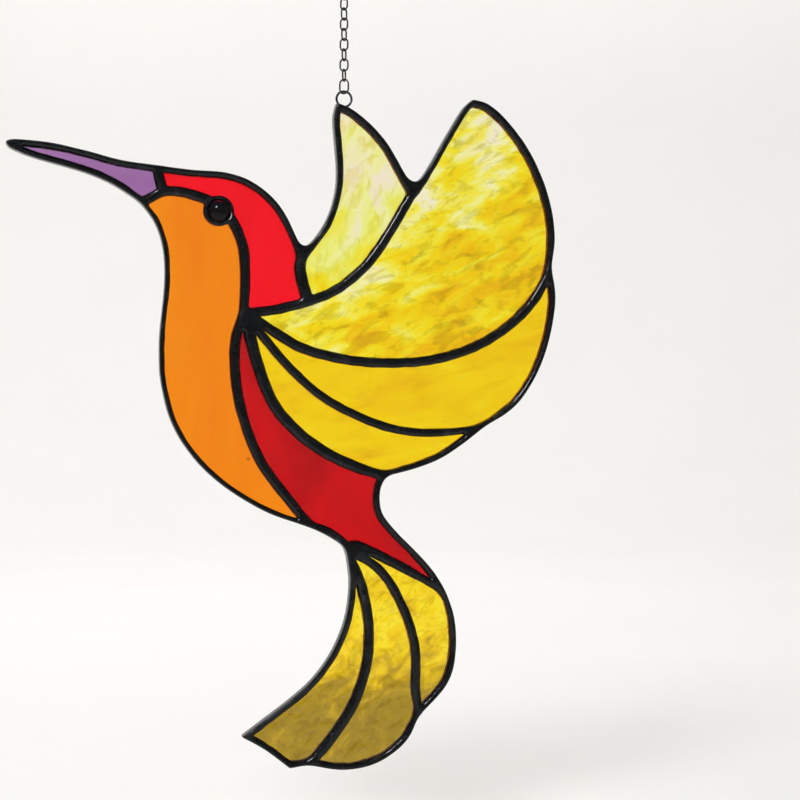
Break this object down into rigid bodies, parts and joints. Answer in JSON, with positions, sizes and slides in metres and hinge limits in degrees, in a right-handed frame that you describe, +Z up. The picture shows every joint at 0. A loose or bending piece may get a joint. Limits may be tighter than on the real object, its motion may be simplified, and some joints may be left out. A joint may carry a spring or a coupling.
{
  "type": "stained glass suncatcher",
  "caption": "Flat hummingbird of coloured glass panes and a glass nugget eye, joined by black solder seams, hung on a fine chain.",
  "frame": {"origin": "the hanging point: the inside top of the ring at the top of the chain", "axes": "+Z up along the chain; the bird lies flat in XZ, its face towards -Y and its beak towards -X"},
  "size_m": [0.1974, 0.0071, 0.2843],
  "materials": {
    "purple_glass": "clear tinted sheet glass",
    "red_glass": "smooth red sheet glass",
    "dark_red_glass": "smooth deeper red sheet glass",
    "orange_glass": "orange cathedral glass with faint streaks and seeds",
    "pale_yellow_glass": "wispy pale yellow glass",
    "rippled_yellow_glass": "strongly rippled yellow glass",
    "yellow_glass": "lightly rippled golden yellow glass",
    "amber_glass": "rippled amber yellow glass",
    "black_nugget": "polished black glass nugget",
    "solder": "lead and tin solder beads with a waxed black patina",
    "chain": "blackened steel wire"
  },
  "bodies": {
    "root": {"solder_lines": "solder", "eye_bead": "black_nugget", "beak_glass": "purple_glass", "crown_glass": "red_glass", "breast_glass": "orange_glass", "rump_glass": "dark_red_glass", "far_wing_glass": "pale_yellow_glass", "near_wing_upper_glass": "rippled_yellow_glass", "near_wing_middle_glass": "yellow_glass", "near_wing_lower_glass": "yellow_glass", "tail_left_glass": "amber_glass", "tail_middle_glass": "amber_glass", "tail_right_glass": "amber_glass", "hanging_ring": "chain", "joining_link": "chain", "chain_link_1": "chain", "chain_link_2": "chain", "chain_link_3": "chain", "chain_link_4": "chain", "chain_link_5": "chain", "chain_link_6": "chain", "chain_link_7": "chain", "chain_link_8": "chain", "chain_link_9": "chain", "top_ring": "chain"}
  },
  "joints": []
}
